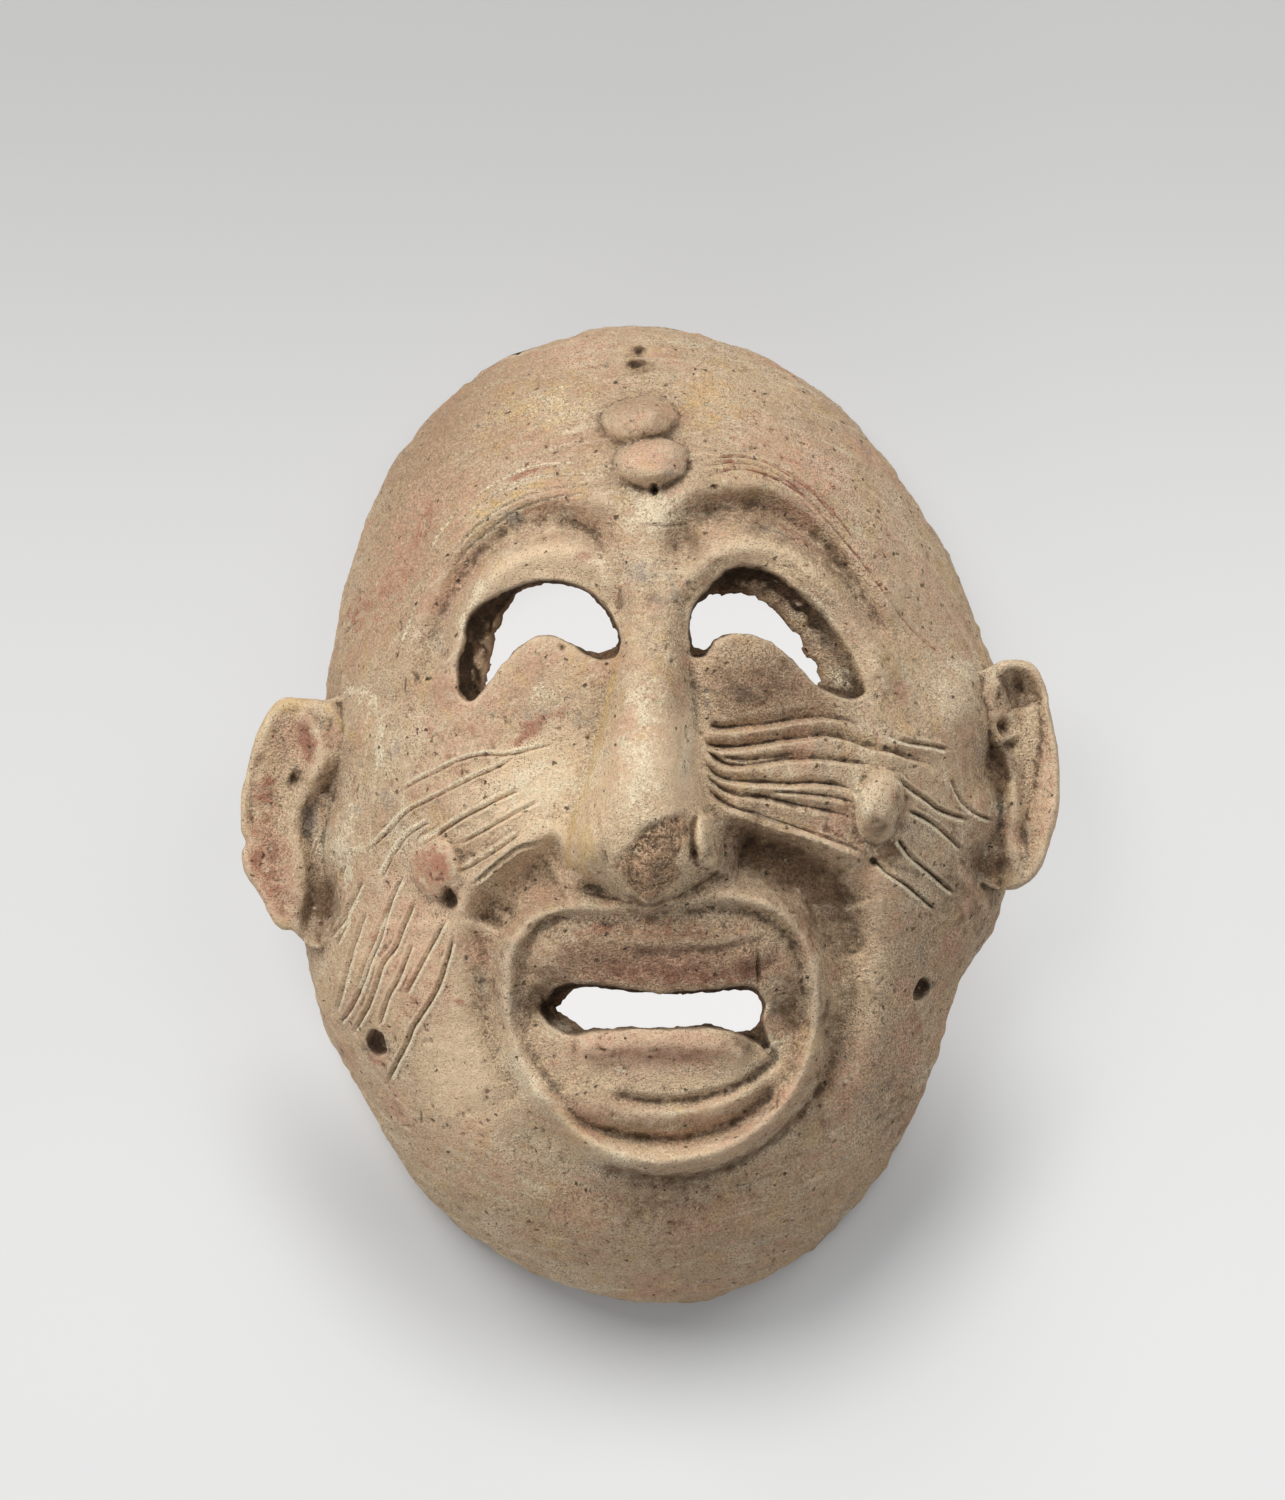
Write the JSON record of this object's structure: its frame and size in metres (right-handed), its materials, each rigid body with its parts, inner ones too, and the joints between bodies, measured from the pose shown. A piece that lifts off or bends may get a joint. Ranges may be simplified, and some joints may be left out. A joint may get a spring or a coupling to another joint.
{
  "type": "terracotta mask",
  "caption": "Life-size fired-clay grotesque mask: bald domed shell with pierced crescent eyes, long nose, open ringed mouth, jug ears and pressed-on pellets.",
  "frame": {"origin": "middle of the back rim, in the plane that the mask rests on", "axes": "+Z out through the face, +Y towards the crown, +X to the right as the face is looked at"},
  "size_m": [0.1982, 0.2391, 0.09],
  "materials": {
    "terracotta": "dry, porous, unglazed fired clay with a buff skin, worn red paint and pale earth crust"
  },
  "bodies": {
    "root": {"clay_mask": "terracotta"}
  },
  "joints": []
}
